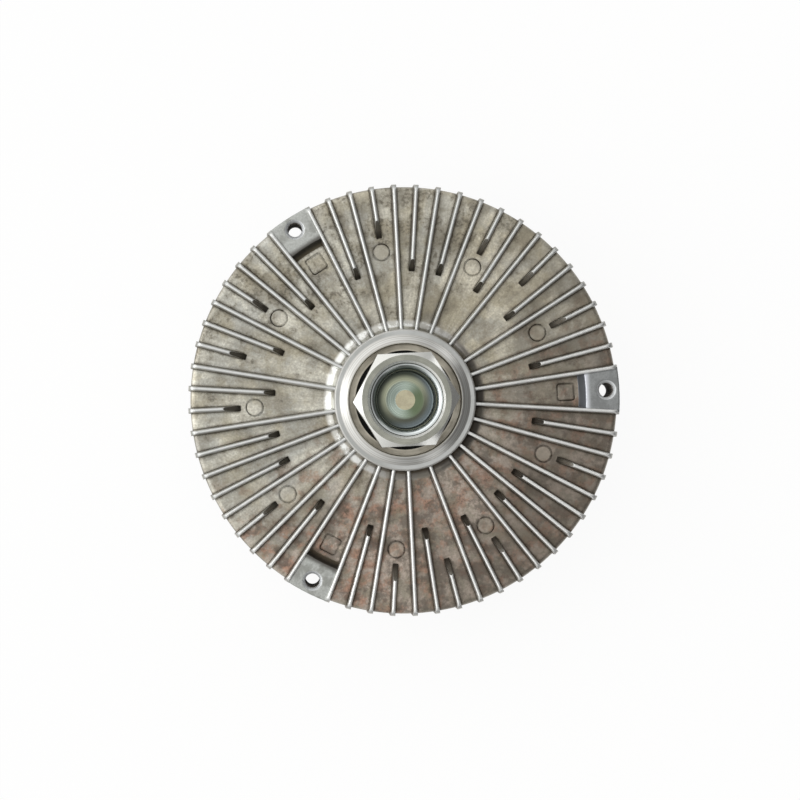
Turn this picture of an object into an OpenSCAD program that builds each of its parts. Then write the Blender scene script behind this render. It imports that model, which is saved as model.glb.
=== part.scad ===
// Viscous fan clutch, standing on its front fins with the hexagon of the input shaft on top.
// The axis of the clutch is Z, and the first fan lug lies on +X.

/* [Rear housing] */
// Radius of the drum at its front edge
rim_r = 76; // [73:0.5:82]
// Depth of the drum from its front edge to the plate between the fins
drum_h = 18; // [17:0.5:22]
// How much the drum narrows from its front edge to the plate
drum_draft = 0.8; // [0.4:0.1:1.6]
// Radial thickness of the drum wall, which carries the fan bolts
rim_wall = 12; // [11:0.5:14]
// Thickness of the plate between the fins
plate_t = 4; // [3:0.25:5]
// Rounding of the drum's rear edge
edge_round = 1.6; // [0.8:0.2:2.4]

/* [Rear fins] */
// Height of a fin above the plate at the drum's edge
fin_h = 4.2; // [3:0.2:5]
// Extra height of the fins where they meet the boss
fin_rise = 1.5; // [0.6:0.1:1.6]
// Thickness of a fin at its foot
fin_foot_w = 1.8; // [1.6:0.1:2.6]
// Thickness of a fin at its crest
fin_crest_w = 1.3; // [0.9:0.1:1.5]
// How far a fin stands out from the side of the drum
fin_proud = 0.6; // [0.4:0.1:1.5]
// Plain edge of the drum below the fins and lugs
drum_edge = 1; // [0.6:0.1:2]
// Rounding of a fin where its crest turns down the side of the drum
fin_round = 2.4; // [1.2:0.2:3]
// Radius at which the crest of a mid-length fin starts
mid_fin_r = 49.4; // [42:0.2:54]
// Radial run of the sloped end of a mid-length fin
mid_fin_slope = 4; // [1:0.25:6]
// Radius at which the crest of a short fin starts
short_fin_r = 63.5; // [58:0.5:66]
// Radial run of the sloped end of a short fin
short_fin_slope = 6; // [2:0.25:8]

/* [Fan lugs] */
// Distance of a fan bolt hole from the drum's front edge
bolt_edge = 5; // [4.5:0.25:6]
// Radius of a tapped fan bolt hole
bolt_hole_r = 2.5; // [2:0.1:3.3]
// Width of the chamfer at the mouth of a bolt hole
bolt_chamfer = 0.9; // [0.4:0.1:1.2]
// How far the lug pads lie below the fin crests
pad_drop = 0.8; // [0.4:0.1:1.5]
// Radial length of a lug pad
pad_l = 12.6; // [11:0.2:14]
// Radial run of the sloped inner end of a lug
pad_slope = 2.3; // [1:0.1:4]

/* [Casting marks] */
// Radius of the round ejector pin marks
pin_mark_r = 3.15; // [2.5:0.05:4]
// Distance of the round marks from the axis
pin_mark_at = 52.6; // [46:0.2:56]
// Side of the square marks beside the lugs
square_mark = 6.3; // [5:0.1:7]
// Distance of the square marks from the axis
square_mark_at = 57; // [53:0.2:58]
// Width of the groove that draws a mark
mark_w = 0.4; // [0.2:0.05:0.6]
// Depth of the groove that draws a mark
mark_depth = 0.35; // [0.2:0.05:0.6]

/* [Boss and bearing] */
// Height of the boss above the plate
boss_h = 6.4; // [6.2:0.2:10]
// Wall of the boss around the bearing
boss_wall = 4.8; // [3.5:0.1:6]
// Width of the flat ring on top of the boss
boss_land = 1.9; // [1:0.1:2.4]
// Height of the staked lip above the boss
stake_h = 1.4; // [0.6:0.1:2]
// How far the staked lip reaches over the bearing
stake_over = 0.5; // [0.3:0.05:0.8]
// Radius of the fillet at the foot of the boss
boss_fillet = 3.8; // [2:0.2:4.4]
// Depth of the bearing below the rear face of the boss
bearing_inset = 2.4; // [1.8:0.2:3.4]
// Bore of the ball bearing
bearing_bore = 17; // [15:1:20]
// Outside diameter of the ball bearing
bearing_od = 40; // [38:1:44]
// Width of the ball bearing
bearing_w = 12; // [11:0.5:14]
// Number of bearing balls
ball_count = 8; // [7:1:9]
// Diameter of a bearing ball
ball_d = 6.75; // [6:0.05:7]

/* [Input shaft] */
// Size of the hexagon across its flats
hex_af = 32; // [30:1:34]
// Height of the hexagon
hex_h = 15.5; // [14:0.5:20]
// Gap between the hexagon and the bearing
hex_gap = 1.5; // [1:0.1:2.5]
// Core radius of the left-hand thread
thread_r = 10.19; // [9:0.01:11]
// Depth of the curved lead-in above the thread
lead_in = 3.2; // [2.4:0.2:5]
// Metal left between the bore and the underside of the hexagon
bore_floor = 1.6; // [1.2:0.2:3]

/* [Drive disc] */
// Thickness of the disc
disc_t = 3; // [2:0.25:4]
// Radius of the disc's hub
disc_hub_r = 14; // [13.5:0.25:15]
// Number of ring lands on the disc
land_count = 4; // [2:1:5]
// Width of a ring land
land_w = 1.4; // [1:0.1:1.8]
// Height of a ring land
land_h = 3.4; // [2.5:0.1:4]
// Number of oil holes through the disc
oil_holes = 8; // [4:1:12]

/* [Front cover] */
// Height of the front cover in front of the drum
cover_h = 20; // [18:0.5:26]
// Height of the fins on the cover
cover_fin_h = 9; // [8:0.5:11]
// Thickness of the cover's plate
cover_t = 4; // [3:0.25:5]
// Number of cover fins, long and short by turns
cover_fins = 36; // [24:2:40]
// Radius at which the long cover fins start
cover_fin_r = 27; // [26:0.5:32]
// Thickness of the rolled lip that holds the cover
lip_t = 2; // [1.5:0.1:2.5]

/* [Oil control] */
// Thickness of the divider plate
divider_t = 1.2; // [0.8:0.1:1.6]
// Number of rivets that hold the divider plate
rivet_count = 6; // [4:1:8]
// Shank radius of a rivet
rivet_r = 1.2; // [1:0.05:1.4]
// Distance of the inlet port from the axis
port_at = 33; // [28:0.5:35]
// Radius of the inlet port
port_r = 2.5; // [2:0.1:3]
// Thickness of the valve lever
lever_t = 1.2; // [0.8:0.1:1.6]
// Radius of the valve shaft
valve_r = 3; // [2.6:0.1:4]

/* [Bimetal coil] */
// Thickness of the bimetal strip
coil_t = 0.9; // [0.6:0.05:1.1]
// Width of the bimetal strip
coil_w = 5; // [4:0.25:5.5]
// Distance between the turns of the coil
coil_pitch = 2.6; // [2.2:0.1:2.8]
// Number of half turns of the coil
coil_halves = 11; // [7:2:11]

/* [Clearances] */
// Gap around and below the drive disc
disc_gap = 1; // [0.8:0.05:1.2]
// Oil gap between neighbouring ring lands
oil_gap = 0.6; // [0.4:0.05:0.8]
// Gap between pieces that turn past each other
run_gap = 0.3; // [0.2:0.05:0.4]
// Radial play of the valve shaft in the cover
shaft_play = 0.05; // [0.02:0.01:0.1]
// Play between pieces that are fitted together
fit_gap = 0.02; // [0.01:0.01:0.08]

/* [Hidden] */
$fn = 96;
// Small overlap that joins shapes of one piece
sink = 0.5;

// Order of full, mid-length and short fins from one lug to the next
FIN_ORDER = "FMFSFMSFMSFMFMFSFMF";
lug_count = 3;
slots = len(FIN_ORDER) + 1;
slot_angle = 360 / lug_count / slots;
// Slots between the fins that hold a round mark, counted from a lug
PIN_MARK_SLOTS = [4, 10, 16];

// Heights of the housing, from the front fins up
z_edge = cover_h;
z_plate = z_edge + drum_h;
z_plate_in = z_plate - plate_t;
z_boss = z_plate + boss_h;
z_crest = z_plate + fin_h;
z_pad = z_crest - pad_drop;
z_fin_low = z_edge + drum_edge;
z_lug_low = z_edge + drum_edge / 2;

// Heights of the bearing and the shaft
shoulder_t = 2;
z_bearing_top = z_boss - bearing_inset;
z_bearing = z_bearing_top - bearing_w;
z_balls = z_bearing + bearing_w / 2;
z_shoulder = z_bearing - shoulder_t;
z_hex = z_bearing_top + hex_gap;
z_top = z_hex + hex_h;
z_bore = z_hex + bore_floor;

// Heights of the disc and of the seat for the cover
z_web_top = z_shoulder - disc_gap;
z_web = z_web_top - disc_t;
z_disc_top = z_plate_in - oil_gap - land_h;
z_disc = z_disc_top - disc_t;
z_seat = z_disc - disc_gap;
z_lip = z_edge + lip_t;

// Heights of the divider plate, the valve and the cover
divider_inset = 0.2;
z_divider = z_seat - divider_inset - divider_t;
z_divider_in = z_web - disc_gap - divider_t;
z_lever = z_divider_in - run_gap - lever_t;
clip_t = 0.8;
clip_play = 0.1;
z_clip = z_lever - run_gap - clip_t;
z_cover_boss = z_clip - clip_play;
z_cover = cover_fin_h;
z_cover_in = z_cover + cover_t;
collar_t = 0.9;
z_collar = z_cover - clip_play - collar_t;
z_coil = z_collar - run_gap - coil_w;
z_valve = z_coil - run_gap;

// Radii of the housing
bearing_r = bearing_od / 2;
journal_r = bearing_bore / 2;
boss_r = bearing_r + boss_wall;
boss_break = 0.5;
stake_foot_r = boss_r - boss_land;
stake_in_r = bearing_r - stake_over;
stake_lean = 0.2;
stake_land = 0.15;
stake_top_in_r = stake_in_r + stake_lean;
stake_top_out_r = stake_top_in_r + stake_land * (stake_foot_r - stake_top_in_r);
stake_t = 0.9;
shoulder_lip = 2.5;
shoulder_r = bearing_r - shoulder_lip;
hub_ring_wall = 4;
hub_ring_r = bearing_r + hub_ring_wall;
plate_r = rim_r - drum_draft;
fin_tip_r = rim_r + fin_proud;
lug_inset = 0.2;
lug_r = fin_tip_r - lug_inset;
fin_root = 1;
mark_round = 1;
bolt_at = rim_r - bolt_edge;
pad_r = lug_r - pad_l;
cavity_r = rim_r - rim_wall;
flange_w = 2.5;
seat_r = cavity_r + flange_w;
lip_step = 0.5;
lip_r = cavity_r + lip_step;

// Radii of the bearing
pitch_r = (bearing_r + journal_r) / 2;
ball_r = ball_d / 2;
race_gap = 0.15;
race_r = ball_r + race_gap;
race_land = 0.78 * ball_r;
outer_race_land_r = pitch_r + race_land;
inner_race_land_r = pitch_r - race_land;
cage_half_w = 0.4 * ball_r;
seal_t = 1;
seal_inset = 0.4;
seal_step = 0.5;
seal_seat_r = outer_race_land_r + seal_step;

// Radii of the disc, the cover and the divider plate
disc_r = cavity_r - disc_gap;
land_pitch = 2 * (land_w + oil_gap);
dish_in_r = hub_ring_r + disc_gap;
dish_w = 6;
dish_out_r = dish_in_r + dish_w;
oil_hole_r = 2;
ring_t = 1.1;
ring_tail = 0.9;
ring_groove = 0.9;
ring_wall = 3;
cover_wall_r = lip_r - run_gap;
flange_r = seat_r - fit_gap;
seal_d = 1.7;
recess_wall = 3.3;
recess_r = cavity_r - recess_wall;
ledge_w = 4.7;
ledge_r = recess_r - ledge_w;
divider_r = recess_r - fit_gap;
port_room = 5;
divider_dish_in_r = port_at + port_r + port_room;
divider_dish_w = 5;
divider_dish_out_r = divider_dish_in_r + divider_dish_w;
rivet_at = (recess_r + ledge_r) / 2;
rivet_head_w = 0.8;
rivet_head_r = rivet_r + rivet_head_w;
rivet_head_h = 0.5;
rivet_l = 3;
return_hole_r = 1.5;
return_inset = 3.75;
return_at = ledge_r - return_inset;
dam_w = 4.5;
dam_gap = 0.5;

// Sizes of the valve and the coil
cover_boss_wall = 5;
cover_boss_r = valve_r + cover_boss_wall;
collar_w = 1.4;
collar_r = valve_r + collar_w;
spigot_step = 0.8;
spigot_r = valve_r - spigot_step;
lever_wall = 2;
lever_taper = 0.8;
oring_d = 1;
clip_groove = 0.7;
clip_wall = 2.4;
coil_inset = 0.8;
coil_r = collar_r + coil_inset;
coil_last_r = coil_r + (coil_halves - 1) * coil_pitch / 2;
coil_tab = 4;
anchor_w = 5;
anchor_l = 3.5;
anchor_at = coil_last_r + coil_tab;

// Sizes of the bore in the hexagon
mouth_w = 3.2;
mouth_r = thread_r + mouth_w;
mouth_chamfer = 0.9;
hex_top_inset = 0.6;
hex_top_r = hex_af / 2 - hex_top_inset;
hex_chamfer = 30;
bore_corner = 0.8;
bore_step_r = 0.65 * thread_r;
bore_spot_r = 0.34 * thread_r;
bore_step = 0.8;

// Sizes of the cover fins
cover_fin_foot_w = 2.6;
cover_fin_crest_w = 1.4;
cover_fin_slope = 2;
cover_break = 1;
cover_edge = 0.8;
cover_fin_lean = 1;
cover_fin_out = cover_wall_r - cover_break - cover_edge;
cover_short_fin_r = (cover_fin_r + cover_fin_out) / 2;

// Points of an arc from angle a0 to angle a1
function arc(x, y, r, a0, a1, n = 6) =
    [for (i = [0:n]) let (a = a0 + (a1 - a0) * i / n) [x + r * cos(a), y + r * sin(a)]];

// Solid of revolution about the axis
module turned(points) {
    rotate_extrude() polygon(points);
}

// Flat ring about the axis
module ring(r_in, r_out, z, h) {
    translate([0, 0, z])
        rotate_extrude()
            translate([r_in, 0]) square([r_out - r_in, h]);
}

// Round section ring about the axis
module round_ring(r, d, z) {
    translate([0, 0, z])
        rotate_extrude()
            translate([r, 0]) circle(d = d, $fn = 32);
}

// Copies of the children around the axis
module around(n, r = 0) {
    for (i = [0:n - 1])
        rotate([0, 0, i * 360 / n]) translate([r, 0, 0]) children();
}

// Section of a drafted fin with a round crest, seen from its end
module fin_section(foot_w, crest_w, h, deep) {
    foot = foot_w / 2;
    crest_r = crest_w / 2;
    polygon(concat(
        arc(0, -crest_r, crest_r, 0, 180),
        [[-foot, -h], [-foot, -deep], [foot, -deep], [foot, -h]]
    ));
}

// Fin along +X whose crest line runs at the given slope through height z at radius r
module fin(side_points, foot_w, crest_w, h, deep, r, z, slope, length) {
    intersection() {
        translate([r, 0, z])
            rotate([0, slope, 0])
                translate([-length, 0, 0])
                    rotate([90, 0, 90])
                        linear_extrude(2 * length) fin_section(foot_w, crest_w, h, deep);
        rotate([90, 0, 0])
            linear_extrude(2 * foot_w, center = true) polygon(side_points);
    }
}

// Inner end of a fin: one slope from below its foot at height z, through a crest of height h, to past it
function fin_end(crest_start, run, z, h) =
    let (below = sink / h, past = (fin_rise + sink) / h)
    [[crest_start - run * (1 + below), z - sink], [crest_start + run * past, z + h * (1 + past)]];

// Rear fin that starts at the given crest radius, with a sloped end and its run down the drum
module rear_fin(crest_start, run) {
    slope = atan(fin_rise / (fin_tip_r - boss_r));
    start_h = fin_h + (fin_tip_r - crest_start) * tan(slope);
    top_r = plate_r + fin_proud;
    // The rounding stays a little off the crest and the side, so that no faces only touch
    off_tangent = 2;
    off_round = 0.02;
    side = concat(
        fin_end(crest_start, run, z_plate, start_h),
        [[top_r - 2 * fin_round, z_plate + start_h + fin_rise + sink]],
        arc(top_r - fin_round, z_crest - fin_round, fin_round + off_round, 90 - off_tangent, off_tangent),
        [[fin_tip_r, z_fin_low],
         [plate_r - fin_round, z_fin_low],
         [plate_r - fin_round, z_plate - sink]]
    );
    fin(side, fin_foot_w, fin_crest_w, fin_h, fin_h + fin_rise + drum_h + sink,
        fin_tip_r, z_crest, slope, rim_r);
}

// Fins of one sector, between two lugs
module fin_sector() {
    for (i = [0:len(FIN_ORDER) - 1])
        rotate([0, 0, (i + 1) * slot_angle]) {
            if (FIN_ORDER[i] == "F") rear_fin(boss_r - fin_root, 0);
            if (FIN_ORDER[i] == "M") rear_fin(mid_fin_r, mid_fin_slope);
            if (FIN_ORDER[i] == "S") rear_fin(short_fin_r, short_fin_slope);
        }
}

// Lug that fills the space between two fins, without its bolt hole
module lug() {
    lug_below = pad_slope * sink / (z_pad - z_plate);
    rotate([0, 0, -slot_angle])
        rotate_extrude(angle = 2 * slot_angle)
            polygon([
                [pad_r - pad_slope - lug_below, z_plate - sink], [pad_r, z_pad],
                [lug_r - drum_draft, z_pad],
                [lug_r, z_lug_low], [plate_r - fin_round, z_lug_low],
                [plate_r - fin_round, z_plate - sink]
            ]);
}

// Through hole for a fan bolt, with a chamfer at both ends
module bolt_hole() {
    mouth = bolt_hole_r + bolt_chamfer + sink;
    turned([
        [0, z_edge - sink], [mouth, z_edge - sink], [bolt_hole_r, z_edge + bolt_chamfer],
        [bolt_hole_r, z_pad - bolt_chamfer], [mouth, z_pad + sink], [0, z_pad + sink]
    ]);
}

// Square with round corners
module round_square(side, r) {
    c = side / 2 - r;
    polygon(concat(
        arc(c, c, r, 0, 90, 3), arc(-c, c, r, 90, 180, 3),
        arc(-c, -c, r, 180, 270, 3), arc(c, -c, r, 270, 360, 3)
    ));
}

// Grooves of the casting marks of one sector
module mark_grooves() {
    groove_h = mark_depth + sink;
    for (slot = PIN_MARK_SLOTS)
        rotate([0, 0, slot * slot_angle])
            translate([pin_mark_at, 0, 0])
                ring(pin_mark_r - mark_w, pin_mark_r, z_plate - mark_depth, groove_h);
    translate([square_mark_at, 0, z_plate - mark_depth])
        linear_extrude(groove_h)
            difference() {
                round_square(square_mark, mark_round);
                round_square(square_mark - 2 * mark_w, mark_round - mark_w);
            }
}

// Drum, plate and boss, turned as one profile
module housing_body() {
    fillet_z = z_plate + boss_fillet;
    turned(concat(
        [[lip_r, z_edge], [rim_r, z_edge]],
        arc(plate_r - edge_round, z_plate - edge_round, edge_round, 0, 90, 4),
        arc(boss_r + boss_fillet, fillet_z, boss_fillet, 270, 180),
        [[boss_r, z_boss - boss_break], [boss_r - boss_break, z_boss], [stake_foot_r, z_boss],
         [stake_top_out_r, z_boss + stake_h], [stake_top_in_r, z_boss + stake_h],
         [stake_in_r, z_bearing_top + stake_t], [stake_in_r, z_bearing_top + fit_gap],
         [bearing_r + fit_gap, z_bearing_top + fit_gap], [bearing_r + fit_gap, z_bearing],
         [shoulder_r, z_bearing], [shoulder_r, z_shoulder], [hub_ring_r, z_shoulder],
         [hub_ring_r, z_plate_in], [cavity_r, z_plate_in], [cavity_r, z_seat],
         [seat_r, z_seat], [seat_r, z_lip], [lip_r, z_lip]]
    ));
}

// Finned die-cast housing with its lugs and the ring lands inside
module rear_housing() {
    color("#A6A294")
    difference() {
        union() {
            housing_body();
            for (i = [0:land_count - 2]) {
                land_out = disc_r - i * land_pitch - land_w - oil_gap;
                ring(land_out - land_w, land_out, z_disc_top + oil_gap, land_h + sink);
            }
            around(lug_count) {
                fin_sector();
                lug();
            }
        }
        around(lug_count) mark_grooves();
        around(lug_count, bolt_at) bolt_hole();
    }
}

// Fin on the front of the cover, pointing down
module cover_fin(crest_start) {
    side = concat(
        fin_end(crest_start, cover_fin_slope, 0, cover_fin_h),
        [[cover_fin_out - cover_fin_lean, cover_fin_h + fin_rise + sink],
         [cover_fin_out, 0], [cover_fin_out, -sink]]
    );
    translate([0, 0, z_cover])
        rotate([180, 0, 0])
            fin(side, cover_fin_foot_w, cover_fin_crest_w, cover_fin_h, cover_fin_h + 2 * sink,
                cover_fin_out, cover_fin_h, 0, cover_fin_out);
}

// Slotted post that holds the outer end of the coil
module coil_anchor() {
    slot_w = coil_t + 2 * fit_gap;
    translate([-anchor_at, 0, z_coil])
        difference() {
            translate([-anchor_l / 2, -anchor_w / 2, 0])
                cube([anchor_l, anchor_w, z_cover + sink - z_coil]);
            translate([-anchor_l, -slot_w / 2, -sink])
                cube([2 * anchor_l, slot_w, coil_w + run_gap + sink]);
        }
}

// Finned front cover with its oil reservoir, shaft boss and coil anchor
module front_cover() {
    groove_r = flange_r - seal_d - fit_gap;
    groove_w = seal_d + 2 * fit_gap;
    groove_z = (z_seat + z_lip - groove_w) / 2;
    color("#A09C90")
    difference() {
        union() {
            turned([
                [valve_r + shaft_play, z_cover], [cover_wall_r - cover_break, z_cover],
                [cover_wall_r, z_cover + cover_break], [cover_wall_r, z_lip], [flange_r, z_lip],
                [flange_r, groove_z], [groove_r, groove_z], [groove_r, groove_z + groove_w],
                [flange_r, groove_z + groove_w], [flange_r, z_seat], [recess_r, z_seat],
                [recess_r, z_divider], [ledge_r, z_divider], [ledge_r, z_cover_in],
                [cover_boss_r, z_cover_in], [cover_boss_r, z_cover_boss],
                [valve_r + shaft_play, z_cover_boss]
            ]);
            rotate([0, 0, 180 / cover_fins]) around(cover_fins / 2) cover_fin(cover_fin_r);
            rotate([0, 0, 540 / cover_fins]) around(cover_fins / 2) cover_fin(cover_short_fin_r);
            coil_anchor();
        }
        around(rivet_count, rivet_at)
            translate([0, 0, z_divider - rivet_l - fit_gap])
                cylinder(r = rivet_r + fit_gap, h = rivet_l + sink);
    }
}

// Round seal between the cover and the housing
module cover_seal() {
    color("#1E1E1E") round_ring(flange_r - seal_d / 2, seal_d, (z_seat + z_lip) / 2);
}

// Outer ring of the bearing, with its race and the seats of the two seals
module bearing_outer_ring() {
    seat_d = seal_t + seal_inset;
    color("#8E8475")
    difference() {
        turned([
            [bearing_r, z_bearing], [bearing_r, z_bearing_top], [seal_seat_r, z_bearing_top],
            [seal_seat_r, z_bearing_top - seat_d], [outer_race_land_r, z_bearing_top - seat_d],
            [outer_race_land_r, z_bearing + seat_d], [seal_seat_r, z_bearing + seat_d],
            [seal_seat_r, z_bearing]
        ]);
        round_ring(pitch_r, 2 * race_r, z_balls);
    }
}

// Inner ring of the bearing, on the shaft
module bearing_inner_ring() {
    color("#9A9A98")
    difference() {
        ring(journal_r, inner_race_land_r, z_bearing, bearing_w);
        round_ring(pitch_r, 2 * race_r, z_balls);
    }
}

// Rubber seal of the bearing
module bearing_seal(z) {
    color("#161616")
        ring(inner_race_land_r + run_gap, seal_seat_r - fit_gap, z, seal_t);
}

module bearing_rear_seal() {
    bearing_seal(z_bearing_top - seal_inset - seal_t);
}

module bearing_front_seal() {
    bearing_seal(z_bearing + seal_inset);
}

// Balls of the bearing
module bearing_balls() {
    color("#C8C8C8") around(ball_count, pitch_r) translate([0, 0, z_balls]) sphere(r = ball_r);
}

// Cage that keeps the balls apart
module bearing_cage() {
    cage_w = bearing_w - 2 * (seal_t + seal_inset + run_gap);
    color("#B08D57")
    difference() {
        ring(pitch_r - cage_half_w, pitch_r + cage_half_w, z_balls - cage_w / 2, cage_w);
        around(ball_count, pitch_r) translate([0, 0, z_balls]) sphere(r = ball_r + race_gap);
    }
}

// Blind bore of the hexagon: chamfered mouth, curved lead-in, thread core and stepped floor
module thread_bore() {
    lead_r = mouth_r - mouth_chamfer;
    lead_w = lead_r - thread_r;
    z_lead = z_top - mouth_chamfer;
    lead = [
        for (a = [0:15:90])
            [thread_r + lead_w * (1 - sin(a)), z_lead - lead_in * (1 - cos(a))]
    ];
    turned(concat(
        [[0, z_top + sink], [mouth_r + sink, z_top + sink], [mouth_r, z_top]],
        lead,
        arc(thread_r - bore_corner, z_bore + bore_corner, bore_corner, 0, -90, 4),
        [[bore_step_r, z_bore], [bore_spot_r, z_bore - bore_step], [0, z_bore - bore_step]]
    ));
}

// Hexagon with its corners turned off at both ends
module hexagon() {
    corner_r = hex_af / 2 / cos(30);
    chamfer_h = (corner_r - hex_top_r) * tan(hex_chamfer);
    sink_h = sink * tan(hex_chamfer);
    intersection() {
        translate([0, 0, z_hex]) cylinder(r = corner_r, h = hex_h, $fn = 6);
        turned([
            [0, z_hex], [hex_top_r, z_hex], [corner_r + sink, z_hex + chamfer_h + sink_h],
            [corner_r + sink, z_top - chamfer_h - sink_h], [hex_top_r, z_top], [0, z_top]
        ]);
    }
}

// Input shaft: hexagon end, bearing journal and seat of the drive disc
module input_shaft() {
    shaft_r = journal_r - fit_gap;
    z_groove = z_web + ring_tail;
    color("#A8A79C")
    difference() {
        union() {
            hexagon();
            turned([
                [0, z_web], [shaft_r - sink, z_web], [shaft_r, z_web + sink], [shaft_r, z_groove],
                [shaft_r - ring_groove, z_groove], [shaft_r - ring_groove, z_groove + ring_t],
                [shaft_r, z_groove + ring_t], [shaft_r, z_bearing_top],
                [inner_race_land_r - run_gap, z_bearing_top], [inner_race_land_r - run_gap, z_hex + sink],
                [0, z_hex + sink]
            ]);
        }
        thread_bore();
    }
}

// Dished drive disc with a hub, ring lands and oil holes
module drive_disc() {
    hub_floor = z_web + ring_tail + ring_t;
    ring_room_r = journal_r + ring_wall + run_gap;
    color("#9FA3A6")
    difference() {
        union() {
            turned([
                [journal_r, hub_floor], [ring_room_r, hub_floor], [ring_room_r, z_web],
                [dish_in_r, z_web], [dish_out_r, z_disc], [disc_r, z_disc], [disc_r, z_disc_top],
                [dish_out_r, z_disc_top], [dish_in_r, z_web_top], [disc_hub_r, z_web_top],
                [disc_hub_r, z_bearing - run_gap], [inner_race_land_r, z_bearing], [journal_r, z_bearing]
            ]);
            for (i = [0:land_count - 1]) {
                land_out = disc_r - i * land_pitch;
                ring(land_out - land_w, land_out, z_disc_top - sink, land_h + sink);
            }
        }
        around(oil_holes, (dish_in_r + disc_r) / 2 - land_pitch)
            translate([0, 0, z_disc - sink]) cylinder(r = oil_hole_r, h = disc_t + 2 * sink);
    }
}

// Ring that keeps the disc on the shaft, split so that it can be sprung on
module disc_ring() {
    groove_r = journal_r - ring_groove;
    z_ring = z_web + ring_tail;
    color("#5A5A58")
    difference() {
        ring(groove_r, journal_r + ring_wall, z_ring + fit_gap, ring_t - 2 * fit_gap);
        translate([0, -ring_wall / 2, z_ring]) cube([2 * journal_r, ring_wall, ring_t]);
    }
}

// Dished divider plate with the inlet port, the return hole and the rivet holes
module divider_plate() {
    color("#B5B2A6")
    difference() {
        turned([
            [0, z_divider_in], [divider_dish_in_r, z_divider_in], [divider_dish_out_r, z_divider],
            [divider_r, z_divider], [divider_r, z_divider + divider_t],
            [divider_dish_out_r, z_divider + divider_t],
            [divider_dish_in_r, z_divider_in + divider_t], [0, z_divider_in + divider_t]
        ]);
        translate([port_at, 0, z_divider_in - sink]) cylinder(r = port_r, h = divider_t + 2 * sink);
        translate([return_at, 0, z_divider - sink]) cylinder(r = return_hole_r, h = divider_t + 2 * sink);
        around(rivet_count, rivet_at)
            translate([0, 0, z_divider - sink]) cylinder(r = rivet_r + fit_gap, h = divider_t + 2 * sink);
    }
}

// Rivets that hold the divider plate on the cover
module divider_rivets() {
    color("#8A8A86")
    around(rivet_count, rivet_at) {
        translate([0, 0, z_divider - rivet_l]) cylinder(r = rivet_r, h = rivet_l + divider_t);
        translate([0, 0, z_divider + divider_t]) cylinder(r = rivet_head_r, h = rivet_head_h);
    }
}

// Block beside the return hole that makes the turning oil flow back
module pump_dam() {
    color("#C0B9A5")
    translate([return_at - dam_w / 2, return_hole_r + dam_gap, z_divider + divider_t])
        cube([dam_w, dam_w, rivet_head_h]);
}

// Bimetal spiral built from half turns, with a tab at each end
module bimetal_coil() {
    color("#B98C5E")
    translate([0, 0, z_coil])
        union() {
            translate([-valve_r, -coil_t / 2, 0]) cube([valve_r + coil_r + coil_t / 2, coil_t, coil_w]);
            for (i = [0:coil_halves - 1])
                translate([i % 2 == 0 ? 0 : coil_pitch / 2, 0, 0])
                    rotate([0, 0, i % 2 == 0 ? 0 : 180])
                        rotate_extrude(angle = 180)
                            translate([coil_r + i * coil_pitch / 2 - coil_t / 2, 0])
                                square([coil_t, coil_w]);
            translate([-coil_last_r - coil_tab, -coil_t / 2, 0])
                cube([coil_tab + coil_t / 2, coil_t, coil_w]);
        }
}

// Valve shaft with a slot for the coil, a collar, a seal groove and a spigot for the lever
module valve_shaft() {
    slot_w = coil_t + 2 * fit_gap;
    seal_z = (z_cover + z_cover_boss - oring_d) / 2;
    seal_r = valve_r - oring_d - fit_gap;
    color("#B0AFA9")
    difference() {
        turned([
            [0, z_valve], [valve_r, z_valve], [valve_r, z_collar], [collar_r, z_collar],
            [collar_r, z_collar + collar_t], [valve_r, z_collar + collar_t], [valve_r, seal_z],
            [seal_r, seal_z], [seal_r, seal_z + oring_d], [valve_r, seal_z + oring_d],
            [valve_r, z_clip], [valve_r - clip_groove, z_clip], [valve_r - clip_groove, z_clip + clip_t],
            [valve_r, z_clip + clip_t], [valve_r, z_lever], [spigot_r, z_lever],
            [spigot_r, z_lever + lever_t], [0, z_lever + lever_t]
        ]);
        translate([-collar_r, -slot_w / 2, z_valve - sink])
            cube([2 * collar_r, slot_w, z_collar - z_valve + sink]);
    }
}

// Lever that slides over the inlet port
module valve_lever() {
    eye_r = valve_r + lever_wall;
    end_r = port_r + lever_wall;
    eye_w = lever_taper * eye_r;
    end_w = lever_taper * end_r;
    color("#C9C6BA")
    translate([0, 0, z_lever])
        linear_extrude(lever_t)
            difference() {
                union() {
                    circle(r = eye_r);
                    translate([port_at, 0]) circle(r = end_r);
                    polygon([[0, -eye_w], [port_at, -end_w], [port_at, end_w], [0, eye_w]]);
                }
                circle(r = spigot_r + fit_gap);
            }
}

// Round seal on the valve shaft
module valve_seal() {
    color("#202020")
        round_ring(valve_r - oring_d / 2, oring_d - 2 * fit_gap, (z_cover + z_cover_boss) / 2);
}

// Clip that keeps the valve shaft in the cover
module valve_clip() {
    color("#4E4E4C")
    difference() {
        ring(valve_r - clip_groove, valve_r + clip_wall, z_clip + fit_gap, clip_t - 2 * fit_gap);
        translate([0, -valve_r / 2, z_clip]) cube([2 * valve_r + clip_wall, valve_r, clip_t]);
    }
}

rear_housing();
front_cover();
cover_seal();
bearing_outer_ring();
bearing_rear_seal();
bearing_front_seal();
divider_plate();
divider_rivets();
pump_dam();
bimetal_coil();
input_shaft();
bearing_inner_ring();
drive_disc();
disc_ring();
bearing_balls();
bearing_cage();
valve_shaft();
valve_lever();
valve_seal();
valve_clip();
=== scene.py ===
# %% [markdown]
# # A viscous fan clutch, seen from the engine side
# The clutch is a finned drum of die-cast aluminium. A steel shaft with a hexagon screws on the water
# pump, and oil inside the drum drags the fan along. In this lesson the solids of the clutch are loaded
# as a fixed frame, and each of them gets the surface that casting, turning, plating or pressing gives
# the real piece. One piece, the bimetal coil on the front, is made anew, because it bends.

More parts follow.
